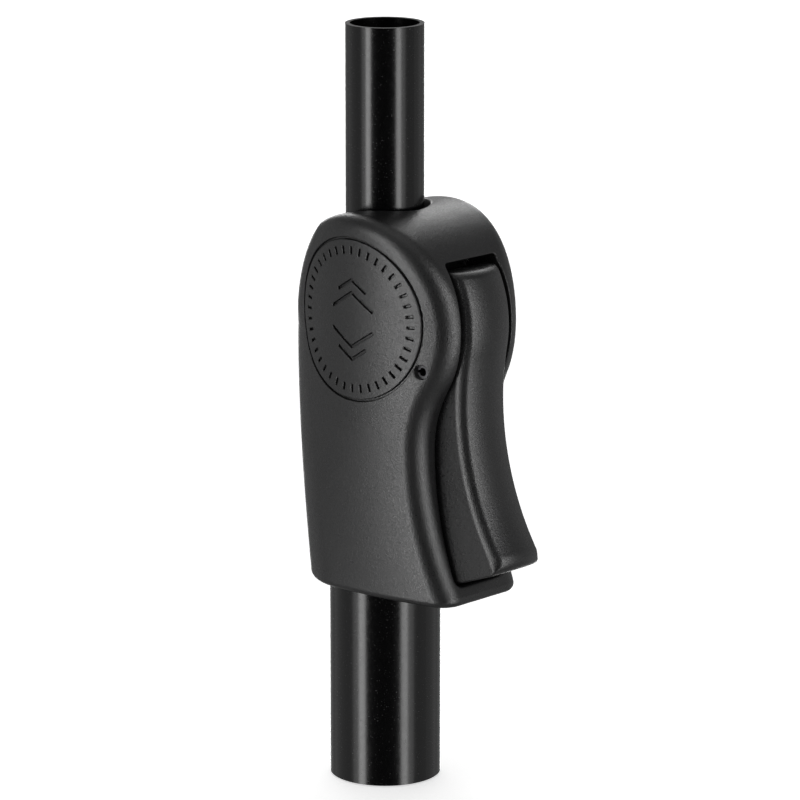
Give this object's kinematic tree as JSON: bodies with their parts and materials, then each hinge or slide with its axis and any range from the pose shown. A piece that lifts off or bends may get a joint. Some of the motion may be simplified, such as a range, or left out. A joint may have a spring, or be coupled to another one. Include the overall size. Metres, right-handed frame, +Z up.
{
  "type": "telescopic stand pole clutch",
  "caption": "Height clutch of a telescopic music stand: squeezing the trigger levels canted lock plates so the upper tube slides and turns, letting go grips it.",
  "frame": {"origin": "centre of the lower tube's bottom end, on the pole's axis", "axes": "+Z up the pole, +X towards the trigger, -Y the cheek with the round engraved mark"},
  "size_m": [0.073, 0.0396, 0.1957],
  "materials": {
    "tube_paint": "gloss black",
    "housing_plastic": "fine spark-eroded matte black",
    "trigger_plastic": "fine spark-eroded matte black",
    "fastener_steel": "blackened",
    "bare_steel": "ground",
    "plate_steel": "hardened and tumbled",
    "spring_steel": "drawn wire",
    "bush_plastic": "natural acetal",
    "wiper_rubber": "matte"
  },
  "bodies": {
    "root": {"outer_tube": "tube_paint", "clutch_housing": "housing_plastic", "housing_screws": "fastener_steel", "tube_mouth_bush": "bush_plastic", "fulcrum_seat": "bare_steel", "plate_spring": "spring_steel", "spring_washer": "bare_steel", "upper_guide_bush": "bush_plastic", "wiper_ring": "wiper_rubber", "trigger_pin": "fastener_steel", "trigger_spring": "spring_steel"},
    "collar": {"guide_collar": "bush_plastic"},
    "upper_pole": {"inner_tube": "tube_paint", "collar_snap_ring": "spring_steel"},
    "trigger": {"trigger": "trigger_plastic", "lift_dowel": "bare_steel"},
    "plate_1": {"lock_plate_1": "plate_steel"},
    "plate_2": {"lock_plate_2": "plate_steel"},
    "plate_3": {"lock_plate_3": "plate_steel", "spring_shoe": "bare_steel"}
  },
  "joints": [
    {"name": "height_slide", "type": "slide", "parent": "root", "child": "collar", "axis": [0, 0, 1], "range_m": [-0.018, 0.04]},
    {"name": "pole_swivel", "type": "hinge", "parent": "collar", "child": "upper_pole", "pos_m": [0, 0, 0.028], "axis": [0, 0, 1], "continuous": true},
    {"name": "trigger_squeeze", "type": "hinge", "parent": "root", "child": "trigger", "pos_m": [0.0271, 0, 0.1129], "axis": [0, 1, 0], "range_deg": [0, 8], "stiffness_Nm_per_rad": 1.5, "springref_deg": -8.59, "deforming": ["trigger_spring"]},
    {"name": "plate_1_tilt", "type": "hinge", "parent": "root", "child": "plate_1", "pos_m": [-0.0132, 0, 0.1125], "axis": [0, -1, 0], "range_deg": [0, 3.8]},
    {"name": "plate_2_tilt", "type": "hinge", "parent": "root", "child": "plate_2", "pos_m": [-0.0132, 0, 0.1156], "axis": [0, -1, 0], "range_deg": [0, 3.8]},
    {"name": "plate_3_tilt", "type": "hinge", "parent": "root", "child": "plate_3", "pos_m": [-0.0132, 0, 0.1187], "axis": [0, -1, 0], "range_deg": [0, 3.8], "deforming": ["plate_spring"]}
  ],
  "couplings": [
    {"joint": "plate_1_tilt", "follows": "trigger_squeeze", "ratio": 0.475},
    {"joint": "plate_2_tilt", "follows": "trigger_squeeze", "ratio": 0.475},
    {"joint": "plate_3_tilt", "follows": "trigger_squeeze", "ratio": 0.475}
  ]
}
